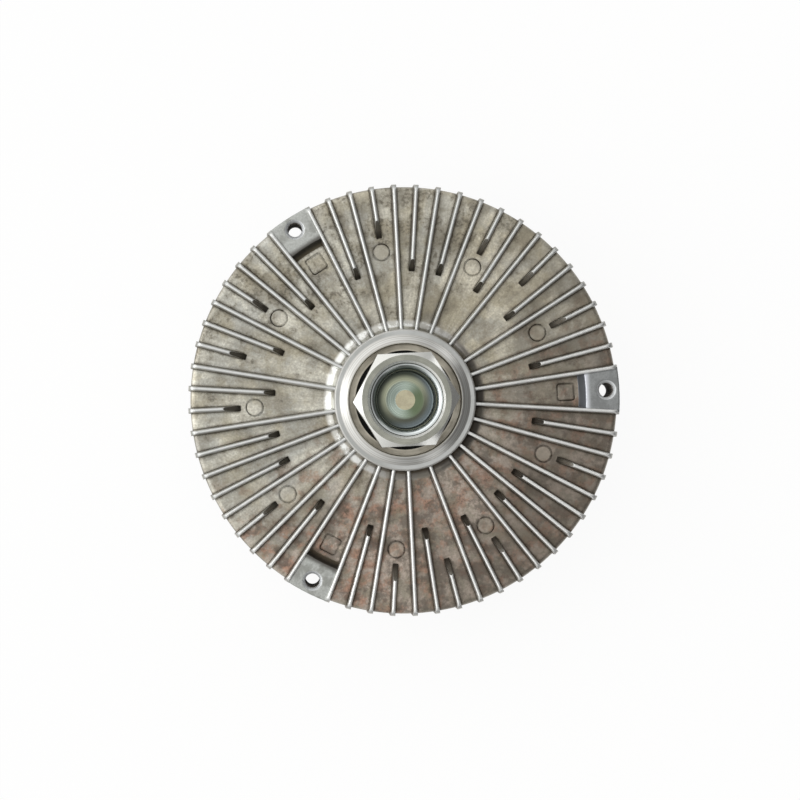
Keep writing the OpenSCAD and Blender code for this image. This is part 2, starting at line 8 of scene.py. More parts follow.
# %% Load the frame
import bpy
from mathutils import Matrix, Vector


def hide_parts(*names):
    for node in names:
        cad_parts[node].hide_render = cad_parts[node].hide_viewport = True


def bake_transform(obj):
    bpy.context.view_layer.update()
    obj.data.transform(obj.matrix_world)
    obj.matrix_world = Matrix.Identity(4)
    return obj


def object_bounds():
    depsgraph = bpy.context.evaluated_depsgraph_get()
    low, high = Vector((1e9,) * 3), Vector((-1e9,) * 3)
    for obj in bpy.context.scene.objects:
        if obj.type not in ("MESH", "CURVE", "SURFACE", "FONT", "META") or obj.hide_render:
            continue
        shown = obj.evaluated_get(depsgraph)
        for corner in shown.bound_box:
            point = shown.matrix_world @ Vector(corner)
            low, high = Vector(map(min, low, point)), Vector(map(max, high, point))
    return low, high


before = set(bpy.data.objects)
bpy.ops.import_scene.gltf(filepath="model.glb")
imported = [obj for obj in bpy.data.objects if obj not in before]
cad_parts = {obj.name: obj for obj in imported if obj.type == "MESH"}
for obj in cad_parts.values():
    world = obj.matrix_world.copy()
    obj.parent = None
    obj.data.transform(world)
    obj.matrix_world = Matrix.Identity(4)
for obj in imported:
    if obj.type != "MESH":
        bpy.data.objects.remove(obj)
cad_box = [list(corner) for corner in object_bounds()]

import math
from types import SimpleNamespace
import bpy

print("nodes:", len(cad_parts), "box in mm:", [round(1000 * v, 1) for v in cad_box[1]])

# %% [markdown]
# ## View settings and camera
# The photograph looks straight down on the clutch, which lies on its front fins. The camera stands
# 0.8 m above it and a little to the left, so the tall hexagon leans to the right by a few pixels.
# A long lens keeps the fins straight, and a roll of three degrees turns the clutch as it was laid down.
# The Standard view transform shows each colour as it is written.

# %% Camera
scene = bpy.context.scene
scene.view_settings.view_transform = "Standard"

PHOTO_PX = 800
FOCAL_PX = 2201.7
camera = bpy.data.objects.new("camera", bpy.data.cameras.new("camera"))
scene.collection.objects.link(camera)
camera.location = (-0.0311, -0.0056, 0.8121)
camera.rotation_euler = (0.0093, -0.0377, -0.0506)
camera.data.lens = camera.data.sensor_width * FOCAL_PX / PHOTO_PX
scene.camera = camera
print("lens in mm:", round(camera.data.lens, 1))

# %% [markdown]
# ## Colours and nodes
# Colours are easiest to read as the hex values of a paint chart, which are sRGB. Shaders count in linear
# light, so one function turns them over. A second small function adds any node with its settings and
# links, which keeps each material below short enough to read as a recipe. Four settings come back so
# often that they have a name.

# %% Two helpers
SMOOTH = {"interpolation_type": "SMOOTHSTEP"}
COLOUR = {"data_type": "RGBA"}
NUMBER = {"data_type": "FLOAT"}
DOT = {"operation": "DOT_PRODUCT"}


def linear(hex_code):
    channels = [int(hex_code[i:i + 2], 16) / 255 for i in (1, 3, 5)]
    return [c / 12.92 if c <= 0.04045 else ((c + 0.055) / 1.055) ** 2.4 for c in channels] + [1.0]


def add(tree, kind, links=(), **settings):
    """Adds a node. links holds pairs of an input's name or number and a value, a node or a socket."""
    node = tree.nodes.new("ShaderNode" + kind)
    for name, value in settings.items():
        setattr(node, name, value)
    for key, value in links:
        if isinstance(value, bpy.types.Node):
            value = next(socket for socket in value.outputs if socket.enabled)
        if isinstance(value, bpy.types.NodeSocket):
            tree.links.new(value, node.inputs[key])
        else:
            node.inputs[key].default_value = value
    return node


print("aluminium grey in linear light:", [round(c, 3) for c in linear("#A6A294")])

# %% [markdown]
# ## Floor
# A plain pale sheet carries the clutch. Seen by the camera or in a reflection it is almost all white
# paper, and the rest of it is a matt surface that keeps the clutch's soft shadow. From below it is clear,
# so that the front of the clutch can be looked at too.

# %% Floor
FLOOR_HALF = 3.0
FLOOR_GAP = 0.0002
WHITE_SHARE = 0.92
floor_mesh = bpy.data.meshes.new("floor")
floor_mesh.from_pydata(
    [(-FLOOR_HALF, -FLOOR_HALF, 0), (FLOOR_HALF, -FLOOR_HALF, 0),
     (FLOOR_HALF, FLOOR_HALF, 0), (-FLOOR_HALF, FLOOR_HALF, 0)], [], [(0, 1, 2, 3)])
floor = bpy.data.objects.new("floor", floor_mesh)
floor.location.z = cad_box[0][2] - FLOOR_GAP
scene.collection.objects.link(floor)
print("floor at z in mm:", round(1000 * floor.location.z, 2))

# %% Paper of the floor
paper = bpy.data.materials.new("white_studio_paper")
paper.use_nodes = True
t = paper.node_tree
t.nodes.clear()
ray = add(t, "LightPath").outputs
seen = add(t, "Math", [(0, ray["Is Camera Ray"]), (1, ray["Is Glossy Ray"])], operation="MAXIMUM")
seen = add(t, "Math", [(0, seen), (1, ray["Is Transmission Ray"])], operation="MAXIMUM")
share = add(t, "Math", [(0, seen), (1, WHITE_SHARE)], operation="MULTIPLY")
matt = add(t, "BsdfDiffuse", [("Color", linear("#F4F4F2"))])
white = add(t, "Emission", [("Color", linear("#FFFFFF")), ("Strength", 1.0)])
sheet = add(t, "MixShader", [(0, share), (1, matt), (2, white)])
from_below = add(t, "NewGeometry").outputs["Backfacing"]
clear = add(t, "BsdfTransparent")
both = add(t, "MixShader", [(0, from_below), (1, sheet), (2, clear)])
add(t, "OutputMaterial", [("Surface", both)])
floor_mesh.materials.append(paper)
print("floor is", paper.name)

# %% [markdown]
# ## Light
# In the photograph each step is bright on its left and dark on its right, and three chamfers of the
# hexagon flash, to the left and to the upper and lower right. A studio with a pale wall on one side does
# that: the room's own light fades from its left, a little towards the top, to the other side, a wide soft
# box hangs above, a window stands on the left, and two small cards on the right throw some of it back.

# %% Studio room
WALL_SIDE = (-0.94, 0.34, 0.0)
ROOM_DARK = 0.25
ROOM_PALE = 1.5
world = bpy.data.worlds.new("pale_studio")
world.use_nodes = True
scene.world = world
t = world.node_tree
t.nodes.clear()
direction = add(t, "TexCoord").outputs["Generated"]
to_wall = add(t, "VectorMath", [(0, direction), (1, WALL_SIDE)], **DOT).outputs["Value"]
strength = add(t, "MapRange", [(0, to_wall), (1, -0.75), (2, 0.75), (3, ROOM_DARK), (4, ROOM_PALE)], **SMOOTH)
room = add(t, "Background", [("Color", linear("#FCFCFB")), ("Strength", strength)])
add(t, "OutputWorld", [("Surface", room)])
print("the room's light goes from", ROOM_DARK, "to", ROOM_PALE)


# %% Lamps
def soft_lamp(name, location, width, height, radiance):
    lamp = bpy.data.objects.new(name, bpy.data.lights.new(name, "AREA"))
    lamp.data.shape = "RECTANGLE"
    lamp.data.size = width
    lamp.data.size_y = height
    lamp.data.energy = radiance * math.pi * width * height
    lamp.location = location
    to_clutch = -lamp.location
    lamp.rotation_euler = to_clutch.to_track_quat("-Z", "Y").to_euler()
    scene.collection.objects.link(lamp)
    print(name, "of", round(lamp.data.energy, 2), "W")


soft_lamp("softbox_above", (-0.2, 0.15, 1.4), 1.3, 1.3, 0.25)
soft_lamp("window_left", (-1.1, 0.1, 0.6), 0.6, 0.8, 1.6)
soft_lamp("card_upper_right", (0.8, 0.75, 0.62), 0.35, 0.35, 1.4)
soft_lamp("card_lower_right", (0.45, -0.85, 0.58), 0.35, 0.35, 1.1)

# %% [markdown]
# ## Sizes that the finishes need
# A finish changes where the tool that made it stopped: at the top of a fin, at the edge of a turned boss,
# at the foot of a bore. The solids carry no such marks, so the heights and radii are repeated here in
# millimetres, in the clutch's own frame, with the axis as Z and the engine side up.

# %% Heights and radii
PLATE_Z = 38.0
CREST_Z = 42.2
PAD_Z = 41.4
PAD_R = 63.8
LUG_HALF = 6.8
BOLT_AT = 71.0
BOLT_MOUTH_R = 3.4
BOLT_PITCH = 1.0
PIN_MARK_AT = 52.6
PIN_MARK_DEG = (24, 60)
PIN_MARK_R = 2.9
MARK_DEPTH = 0.35
FIN_TIP_R = 76.6
BOSS_R = 24.8
LIP_R = 19.9
FILLET_R = 28.8
CREST_SLOPE = 1.5 / (FIN_TIP_R - BOSS_R)
THREAD_FOOT_Z = 45.9
THREAD_PITCH = 1.5
LEAD_IN_R = 12.5
THREAD_R = 10.19
STEP_R = 6.62
SPOT_R = 3.46
print("the fins' crests climb", round(1000 * CREST_SLOPE, 1), "mm per metre towards the boss")


# %% [markdown]
# ## Steps that all finishes share
# Each finish starts from the place on the piece in millimetres, so that a pattern's scale is a real size.
# Stains, films and dirt lie on a surface as thin coats of paint do, one over the other, each with a mask
# and the greatest share that it covers.

# %% Starting, coating and giving a finish
def new_material(name):
    """Starts a material and gives its tree, its coordinates and the place on the piece in millimetres."""
    material = bpy.data.materials.new(name)
    material.use_nodes = True
    tree = material.node_tree
    tree.nodes.clear()
    place = add(tree, "TexCoord")
    mm = add(tree, "VectorMath", [(0, place.outputs["Object"]), ("Scale", 1000.0)], operation="SCALE")
    return material, tree, place, mm


def coat(t, base, coats):
    """Lays coats over a base colour. Each has a mask, the greatest share that it covers, and a colour."""
    for mask, share, hex_code in coats:
        cover = add(t, "Math", [(0, mask), (1, share)], operation="MULTIPLY")
        base = add(t, "Mix", [(0, cover), (6, base), (7, linear(hex_code))], **COLOUR)
    return base


def give(node_name, material):
    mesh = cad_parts[node_name].data
    mesh.materials.clear()
    mesh.materials.append(material)
    print(node_name, "is", material.name)


# %% [markdown]
# ## The housing: places on it
# Aluminium shot into a steel die comes out dull and blotchy where the release agent burned on, such as on
# the plate between the fins. The crests of the fins are painted a lighter silver, as a painted highlight.
# Such zones could be painted on an image, fin by fin. Here the finish finds them from the shape itself: by
# height, by radius and by the way a face looks. The drum repeats in thirds that are mirrored, so an angle
# folded to a sixth finds each lug, each bolt hole and each pin mark. Stains don't repeat. They lie towards
# one side of the drum, as does the painted shade on the side away from the light, and a dot product with
# that side's direction says how far.

# %% Places on the housing
# painted shade: plate, pads and the boss's foot are painted darker towards this side, away from the light
DIM_SIDE = (0.95, -0.3, 0.0)


def housing_places(t, place, mm):
    at = SimpleNamespace()
    at.x, y, at.z = add(t, "SeparateXYZ", [(0, mm)]).outputs
    normal = place.outputs["Normal"]
    at.up = add(t, "SeparateXYZ", [(0, normal)]).outputs["Z"]
    flat = add(t, "VectorMath", [(0, mm), (1, (1, 1, 0))], operation="MULTIPLY")
    at.r = add(t, "VectorMath", [(0, flat)], operation="LENGTH").outputs["Value"]
    at.outward = add(t, "VectorMath", [(0, flat)], operation="NORMALIZE")
    facing = add(t, "VectorMath", [(0, normal), (1, at.outward)], **DOT)
    at.facing_out = facing.outputs["Value"]
    at.right = add(t, "VectorMath", [(0, mm), (1, DIM_SIDE)], **DOT).outputs["Value"]

    angle = add(t, "Math", [(0, y), (1, at.x)], operation="ARCTAN2")
    sixth = add(t, "Math", [(0, angle), (1, math.pi / 3)], operation="PINGPONG")
    cosine = add(t, "Math", [(0, sixth)], operation="COSINE")
    sine = add(t, "Math", [(0, sixth)], operation="SINE")
    at.along = add(t, "Math", [(0, at.r), (1, cosine)], operation="MULTIPLY")
    at.across = add(t, "Math", [(0, at.r), (1, sine)], operation="MULTIPLY")
    folded = add(t, "CombineXYZ", [(0, at.along), (1, at.across)])
    distances = []
    for radius, degrees in [(BOLT_AT, 0)] + [(PIN_MARK_AT, degrees) for degrees in PIN_MARK_DEG]:
        a = math.radians(degrees)
        centre = (radius * math.cos(a), radius * math.sin(a), 0)
        gap = add(t, "VectorMath", [(0, folded), (1, centre)], operation="DISTANCE")
        distances.append(gap.outputs["Value"])
    at.from_bolt = distances[0]
    at.from_pin = add(t, "Math", [(0, distances[1]), (1, distances[2])], operation="MINIMUM")
    return at


# %% [markdown]
# ## The housing: patterns in the casting
# Cast metal is never even. Noise of five sizes makes the clouds, hues, tones, specks and grain. The grain
# is drawn coarser than real grit, so that it shows in the picture.

# %% Patterns in the casting
def casting_patterns(t, mm):
    noise = {}
    for name, size_mm, detail, roughness in [
            ("clouds", 24, 4.0, 0.6), ("hues", 13, 5.0, 0.62), ("tones", 6, 6.0, 0.68),
            ("specks", 1.3, 4.0, 0.7), ("grain", 0.7, 3.0, 0.6)]:
        noise[name] = add(t, "TexNoise", [("Vector", mm), ("Scale", 1 / size_mm),
                                          ("Detail", detail), ("Roughness", roughness)])
    pattern = SimpleNamespace(specks=noise["specks"], grain=noise["grain"])
    pattern.stains = noise["tones"].outputs["Fac"]
    pattern.cloud = add(t, "MapRange", [(0, noise["clouds"]), (1, 0.4), (2, 0.6)], **SMOOTH)
    pattern.grit = add(t, "MapRange", [(0, noise["grain"]), (1, 0.35), (2, 0.65), (3, 0.0), (4, 0.4)])
    hues = add(t, "SeparateColor", [(0, noise["hues"].outputs["Color"])]).outputs
    pattern.yellow, pattern.blue, pattern.smudge = hues
    tones = add(t, "SeparateColor", [(0, noise["tones"].outputs["Color"])]).outputs
    pattern.warm, pattern.cool, pattern.burnt = [
        add(t, "MapRange", [(0, tone), (1, 0.46), (2, 0.6)], **SMOOTH) for tone in tones]
    return pattern


# %% [markdown]
# ## The housing: its zones
# Now places become masks, from 0 outside a zone to 1 within it: where the drum is browned and dim, the
# flanks, crests and ends of the fins, the lugs with their pads and bolt holes, and the boss with its lip.

# %% Zones of stain and of the fins
BROWNED_SIDE = (0.42, -0.91, 0.0)


def fin_zones(t, mm, at, pattern):
    zone = SimpleNamespace()
    low = add(t, "VectorMath", [(0, mm), (1, BROWNED_SIDE)], **DOT).outputs["Value"]
    low = add(t, "Math", [(0, pattern.warm), (1, 12.0), (2, low)], operation="MULTIPLY_ADD")
    zone.brown = add(t, "MapRange", [(0, low), (1, -2.0), (2, 40.0), (3, 0.0), (4, 0.9)], **SMOOTH)
    # painted shade: darker towards the side away from the light
    zone.dim = add(t, "MapRange", [(0, at.right), (1, 10.0), (2, 62.0), (3, 0.0), (4, 0.58)], **SMOOTH)
    zone.past_fillet = add(t, "MapRange", [(0, at.r), (1, FILLET_R - 1.2), (2, FILLET_R)], **SMOOTH)
    above = add(t, "Math", [(0, at.z), (1, PLATE_Z + 0.02)], operation="GREATER_THAN")
    zone.on_fin = add(t, "Math", [(0, above), (1, zone.past_fillet)], operation="MULTIPLY")
    zone.rise = add(t, "MapRange", [(0, at.z), (1, PLATE_Z + 0.2), (2, CREST_Z - 1.6)], **SMOOTH)
    flank = add(t, "MapRange", [(0, at.up), (1, 0.3), (2, 0.75), (3, 1.0), (4, 0.0)], **SMOOTH)
    zone.flank = add(t, "Math", [(0, flank), (1, zone.on_fin)], operation="MULTIPLY")
    top_at_axis = CREST_Z + FIN_TIP_R * CREST_SLOPE
    line = add(t, "Math", [(0, at.r), (1, -CREST_SLOPE), (2, top_at_axis)], operation="MULTIPLY_ADD")
    below = add(t, "Math", [(0, at.z), (1, line)], operation="SUBTRACT")
    zone.crest = add(t, "MapRange", [(0, below), (1, -1.4), (2, -0.6)], **SMOOTH)
    zone.tip = add(t, "MapRange", [(0, at.r), (1, FIN_TIP_R - 2.4), (2, FIN_TIP_R - 0.8)])
    inward = add(t, "MapRange", [(0, at.facing_out), (1, -0.5), (2, -0.28), (3, 0.92), (4, 0.0)], **SMOOTH)
    zone.inward = add(t, "Math", [(0, inward), (1, zone.on_fin)], operation="MULTIPLY")
    return zone


# %% Zones of the lugs and of the boss
def land_zones(t, at, zone):
    steep = add(t, "MapRange", [(0, at.facing_out), (1, -0.8), (2, -0.76), (3, 1.0), (4, 0.0)])
    on_lug = add(t, "Math", [(0, at.across), (1, LUG_HALF)], operation="LESS_THAN")
    zone.lug_end = add(t, "Math", [(0, steep), (1, on_lug)], operation="MULTIPLY")
    right_half = add(t, "Math", [(0, at.x), (1, 0.0)], operation="GREATER_THAN")
    zone.first_lug = add(t, "Math", [(0, on_lug), (1, right_half)], operation="MULTIPLY")
    zone.first_end = add(t, "Math", [(0, steep), (1, zone.first_lug)], operation="MULTIPLY")
    at_pad = add(t, "Math", [(0, at.z), (1, PAD_Z), (2, 0.05)], operation="COMPARE")
    level = add(t, "Math", [(0, at.up), (1, 0.9)], operation="GREATER_THAN")
    zone.pad = add(t, "Math", [(0, at_pad), (1, level)], operation="MULTIPLY")
    zone.rolled = add(t, "MapRange", [(0, at.along), (1, PAD_R + 0.2), (2, PAD_R + 1.9),
                                      (3, 0.95), (4, 0.0)], **SMOOTH)
    zone.hole = add(t, "MapRange", [(0, at.from_bolt), (1, BOLT_MOUTH_R), (2, BOLT_MOUTH_R + 0.1),
                                    (3, 1.0), (4, 0.0)])
    zone.hole_mouth = add(t, "MapRange", [(0, at.z), (1, PAD_Z - 2.0), (2, PAD_Z - 0.8)])
    zone.boss = add(t, "Math", [(0, at.r), (1, BOSS_R + 0.05)], operation="LESS_THAN")
    zone.slope = add(t, "MapRange", [(0, at.facing_out), (1, 0.3), (2, 0.5)], **SMOOTH)
    zone.within_lip = add(t, "MapRange", [(0, at.r), (1, LIP_R - 0.2), (2, LIP_R + 0.3),
                                          (3, 1.0), (4, 0.0)], **SMOOTH)


# %% [markdown]
# ## The housing: the plate between the fins
# The plate is pale on the left of the photograph, with olive and grey tones, streaks where the metal ran
# outward, and smudges mostly at the upper right. At the lower right the release agent burned on: brown,
# with reddish, greenish and dark patches. The drum's side and front edge, which the fan's wind kept clean,
# are calmer.

# %% Colour of the clean plate
PALE_SIDE = (-0.97, 0.2, 0.0)
SMUDGED_SIDE = (0.5, 0.87, 0.0)


def clean_plate(t, mm, at, pattern):
    left = add(t, "VectorMath", [(0, mm), (1, PALE_SIDE)], **DOT).outputs["Value"]
    pale = add(t, "MapRange", [(0, left), (1, -30.0), (2, 50.0)], **SMOOTH)
    plate = add(t, "Mix", [(0, pale), (6, linear("#E4DECC")), (7, linear("#E6E4D8"))], **COLOUR)
    olive = add(t, "MapRange", [(0, pattern.yellow), (1, 0.44), (2, 0.6)], **SMOOTH)
    bluish = add(t, "MapRange", [(0, pattern.blue), (1, 0.46), (2, 0.6)], **SMOOTH)

    # streaks that are narrow around the axis and long along the radius
    spread = add(t, "VectorMath", [(0, at.outward), ("Scale", 60.0)], operation="SCALE")
    length = add(t, "Math", [(0, at.r), (1, 0.1)], operation="MULTIPLY")
    flow = add(t, "VectorMath", [(0, spread), (1, add(t, "CombineXYZ", [(2, length)]))], operation="ADD")
    streaks = add(t, "TexNoise", [("Vector", flow), ("Scale", 1 / 1.6), ("Detail", 3.0), ("Roughness", 0.6)])
    streak = add(t, "MapRange", [(0, streaks), (1, 0.45), (2, 0.65)])

    upper = add(t, "VectorMath", [(0, mm), (1, SMUDGED_SIDE)], **DOT).outputs["Value"]
    upper = add(t, "MapRange", [(0, upper), (1, -15.0), (2, 35.0), (3, 0.1), (4, 0.4)], **SMOOTH)
    smudge = add(t, "MapRange", [(0, pattern.smudge), (1, 0.48), (2, 0.64)], **SMOOTH)
    smudge = add(t, "Math", [(0, smudge), (1, upper)], operation="MULTIPLY")
    return coat(t, plate, [
        (pattern.cloud, 0.45, "#9F9C92"), (olive, 0.5, "#AFA486"), (bluish, 0.4, "#979B9C"),
        (pattern.warm, 0.3, "#968C78"), (streak, 0.35, "#989182"), (smudge, 1.0, "#716A5B")])


# %% Stains on the plate
def stained_plate(t, at, pattern, zone, plate):
    rust = add(t, "Mix", [(0, pattern.cloud), (6, linear("#CEBEB1")), (7, linear("#B0A296"))], **COLOUR)
    fine = add(t, "MapRange", [(0, pattern.specks), (1, 0.45), (2, 0.62)], **SMOOTH)
    rust = coat(t, rust, [
        (pattern.warm, 0.7, "#BE8B72"), (pattern.cool, 0.6, "#868471"),
        (pattern.burnt, 0.75, "#5A504A"), (fine, 0.25, "#5E534C")])
    plate = add(t, "Mix", [(0, zone.brown), (6, plate), (7, rust)], **COLOUR)
    # painted shade on the side away from the light
    plate = add(t, "Mix", [(0, zone.dim), (6, plate), (7, linear("#5C564E"))], **COLOUR)

    down = add(t, "Math", [(0, at.up), (1, -1.0)], operation="MULTIPLY")
    side = add(t, "Math", [(0, at.facing_out), (1, down)], operation="MAXIMUM")
    side = add(t, "MapRange", [(0, side), (1, 0.4), (2, 0.8), (3, 0.0), (4, 0.6)], **SMOOTH)
    calm = add(t, "Mix", [(0, pattern.cloud), (6, linear("#B9B5AB")), (7, linear("#A19D93"))], **COLOUR)
    return add(t, "Mix", [(0, side), (6, plate), (7, calm)], **COLOUR)


# %% [markdown]
# ## The housing: specks and painted shade
# Dark specks lie in clusters, mostly at the top as the camera sees it and near the fins. The pins that
# pushed the casting out of its die left paler discs. Along the feet of the fins, which the Ambient
# Occlusion node finds, the plate is painted darker as shade, and painted shade also lies in the fine
# grooves of the ejector-pin and square marks, more in some places than in others.

# %% Specks and painted shade on the plate
SPECKED_SIDE = (-0.36, 0.93, 0.0)


def specked_and_shaded_plate(t, mm, at, pattern, plate):
    shelter = add(t, "AmbientOcclusion", [("Distance", 0.0014)], samples=6, only_local=True).outputs["AO"]
    top = add(t, "VectorMath", [(0, mm), (1, SPECKED_SIDE)], **DOT).outputs["Value"]
    top = add(t, "MapRange", [(0, top), (1, 15.0), (2, 55.0), (3, -0.08), (4, 0.04)], **SMOOTH)
    near_fin = add(t, "MapRange", [(0, shelter), (1, 0.5), (2, 0.95), (3, 0.06), (4, -0.01)])
    cluster = add(t, "Math", [(0, pattern.stains), (1, top)], operation="ADD")
    cluster = add(t, "Math", [(0, cluster), (1, near_fin)], operation="ADD")
    cluster = add(t, "MapRange", [(0, cluster), (1, 0.49), (2, 0.6)], **SMOOTH)
    speck = add(t, "MapRange", [(0, pattern.specks), (1, 0.44), (2, 0.62)], **SMOOTH)
    speck = add(t, "Math", [(0, speck), (1, cluster)], operation="MULTIPLY")
    disc = add(t, "MapRange", [(0, at.from_pin), (1, PIN_MARK_R - 0.6), (2, PIN_MARK_R), (3, 1.0), (4, 0.0)])

    # painted shade: the plate is darkened at the feet of the fins, where the Ambient Occlusion node finds a
    # corner
    foot = add(t, "MapRange", [(0, shelter), (1, 0.5), (2, 0.84), (3, 1.0), (4, 0.0)])
    uneven = add(t, "Math", [(0, pattern.stains), (1, 0.5)], operation="ADD")
    painted_shade = add(t, "Math", [(0, foot), (1, uneven)], operation="MULTIPLY")
    # painted shade also fills the grooves of the ejector-pin and square marks, unevenly
    sunk = add(t, "MapRange", [(0, at.z), (1, PLATE_Z - 0.12), (2, PLATE_Z - 0.03), (3, 1.0), (4, 0.0)])
    in_mark = add(t, "Math", [(0, at.z), (1, PLATE_Z - MARK_DEPTH - 0.1)], operation="GREATER_THAN")
    sunk = add(t, "Math", [(0, sunk), (1, in_mark)], operation="MULTIPLY")
    inside_rim = add(t, "Math", [(0, at.r), (1, FIN_TIP_R - 4.0)], operation="LESS_THAN")
    groove = add(t, "Math", [(0, sunk), (1, inside_rim)], operation="MULTIPLY")
    groove_shade = add(t, "MapRange", [(0, pattern.stains), (1, 0.42), (2, 0.58), (3, 0.05), (4, 0.85)])
    painted_shade = add(t, "Mix", [(0, groove), (2, painted_shade), (3, groove_shade)], **NUMBER)
    return coat(t, plate, [
        (speck, 0.65, "#565043"), (pattern.grit, 1.0, "#7F786D"),
        (disc, 0.15, "#CFC6B4"), (painted_shade, 1.0, "#3A342B")])


# %% [markdown]
# ## The housing: fins and lugs
# A fin's flank is grey under its crest and painted darker towards its foot as shade, and its crest is
# painted a lighter silver as a highlight, darker at the tip. The foot of the boss is painted bright on the
# side towards the light and dark on the side away from it, as light and shade, with stains over both. The
# ends of the shorter fins and of the lugs look inward and are painted almost black as shade, and the end
# of one lug, which faces the light, is painted pale as lit.

# %% Colours of the fins and of the boss's foot
PAINTED_LIGHT_SIDE = (-0.85, 0.5, 0.0)


def fin_colours(t, at, pattern, zone, plate):
    # painted shade: each fin's flank is painted darker towards its foot
    flank = add(t, "Mix", [(0, zone.rise), (6, linear("#7A7469")), (7, linear("#C6C5C0"))], **COLOUR)
    skin = add(t, "Mix", [(0, zone.flank), (6, plate), (7, flank)], **COLOUR)

    # painted light and shade: the boss's foot is painted bright on the side towards the light and dark away
    # from it
    lit = add(t, "VectorMath", [(0, at.outward), (1, PAINTED_LIGHT_SIDE)], **DOT).outputs["Value"]
    lit = add(t, "MapRange", [(0, lit), (1, -0.5), (2, 0.4)], **SMOOTH)
    foot = add(t, "Mix", [(0, lit), (6, linear("#8F8A83")), (7, linear("#E2E3E0"))], **COLOUR)
    shade = add(t, "MapRange", [(0, at.right), (1, 8.0), (2, 26.0)], **SMOOTH)
    blotch = add(t, "MapRange", [(0, pattern.stains), (1, 0.46), (2, 0.56)], **SMOOTH)
    foot = coat(t, foot, [(shade, 0.7, "#4A453E"), (blotch, 0.6, "#8C877B")])
    skin = add(t, "Mix", [(0, zone.past_fillet), (6, foot), (7, skin)], **COLOUR)

    # painted highlight: the crests are painted a lighter silver, lightest on the browned side, and darker at
    # the tips
    silver = add(t, "Mix", [(0, zone.brown), (6, linear("#CFD0CE")), (7, linear("#EAEAE8"))], **COLOUR)
    silver = coat(t, silver, [(pattern.grit, 0.4, "#9C9A96"), (zone.tip, 0.95, "#777977")])
    skin = add(t, "Mix", [(0, zone.crest), (6, skin), (7, silver)], **COLOUR)

    # painted shade: the inward ends of fins and lugs are painted almost black; one lug's end, which faces the
    # light, is painted pale as lit
    end_shade = add(t, "Mix", [(0, zone.rise), (6, linear("#2E2A25")), (7, linear("#5C574F"))], **COLOUR)
    lug_end_shade = add(t, "Mix", [(0, zone.rise), (6, linear("#857D6E")), (7, linear("#38342F"))], **COLOUR)
    end_shade = add(t, "Mix", [(0, zone.lug_end), (6, end_shade), (7, lug_end_shade)], **COLOUR)
    end_shade = add(t, "Mix", [(0, zone.first_end), (6, end_shade), (7, linear("#868C96"))], **COLOUR)
    return add(t, "Mix", [(0, zone.inward), (6, skin), (7, end_shade)], **COLOUR)


# %% [markdown]
# ## The housing: pads, bolt holes and boss
# The pads of the lugs and the boss are smooth lands. A pad rolls over at its inner edge, which is painted
# bright on one lug as a highlight and dark on the others as shade. The bolt holes have a bright mouth, and
# below it the stripes of a thread of 1 mm pitch, which is too fine for the solids: its flanks are painted
# as bright and dark stripes of light and shade, and painted shade deepens down the hole. Fine rings run
# round the boss, whose lip was staked over the bearing.

# %% Colours of the lands
def land_colours(t, at, pattern, zone, skin):
    pad = add(t, "Mix", [(0, pattern.warm), (6, linear("#B4B6B2")), (7, linear("#979893"))], **COLOUR)
    # the pads also take the painted shade on the side away from the light
    pad = coat(t, pad, [(pattern.grit, 1.0, "#7C7D79"), (zone.dim, 1.0, "#74767A")])
    # painted highlight and shade: a pad's inner edge is painted bright on one lug and dark on the others
    edge = add(t, "Mix", [(0, zone.first_lug), (6, linear("#5F5D59")), (7, linear("#D2D4DA"))], **COLOUR)
    pad = add(t, "Mix", [(0, zone.rolled), (6, pad), (7, edge)], **COLOUR)
    skin = add(t, "Mix", [(0, zone.pad), (6, skin), (7, pad)], **COLOUR)

    # painted light and shade: the thread's flanks are painted as bright and dark stripes
    tooth = add(t, "Math", [(0, at.z), (1, BOLT_PITCH / 2)], operation="PINGPONG")
    tooth = add(t, "MapRange", [(0, tooth), (1, 0.1), (2, BOLT_PITCH / 2 - 0.1)], **SMOOTH)
    tapped = add(t, "Mix", [(0, tooth), (6, linear("#6A645D")), (7, linear("#D2CCC4"))], **COLOUR)
    # painted shade that deepens down the bolt hole
    depth = add(t, "MapRange", [(0, at.z), (1, PAD_Z - 18.0), (2, PAD_Z - 2.0), (3, 1.0), (4, 0.0)])
    tapped = coat(t, tapped, [(depth, 0.85, "#1E1B18")])
    drilled = add(t, "Mix", [(0, zone.hole_mouth), (6, tapped), (7, linear("#CBCDCE"))], **COLOUR)
    skin = add(t, "Mix", [(0, zone.hole), (6, skin), (7, drilled)], **COLOUR)

    turns = add(t, "CombineXYZ", [(0, at.r)])
    rings = add(t, "TexNoise", [("Vector", turns), ("Scale", 1 / 0.55), ("Detail", 2.0)])
    ring = add(t, "MapRange", [(0, rings), (1, 0.38), (2, 0.62)], **SMOOTH)
    boss = add(t, "Mix", [(0, pattern.cloud), (6, linear("#B8B9B7")), (7, linear("#A6A7A4"))], **COLOUR)
    coined = add(t, "Mix", [(0, ring), (6, linear("#CFCFCC")), (7, linear("#A3A09A"))], **COLOUR)
    boss = add(t, "Mix", [(0, zone.slope), (6, boss), (7, coined)], **COLOUR)
    oiled = add(t, "Mix", [(0, ring), (6, linear("#BCB7AA")), (7, linear("#928D81"))], **COLOUR)
    boss = add(t, "Mix", [(0, zone.within_lip), (6, boss), (7, oiled)], **COLOUR)
    return add(t, "Mix", [(0, zone.boss), (6, skin), (7, boss)], **COLOUR)


# %% [markdown]
# ## The housing: the whole finish
# Die-cast aluminium is a bare metal with a rough skin, about 0.5 on the plate and 0.3 on the crests and
# lands. A thread turns its faces every way, so the bolt holes are rougher still. A cast edge is never
# sharp: the Bevel node rounds the light on each edge by most of a millimetre, and less on the turned boss.

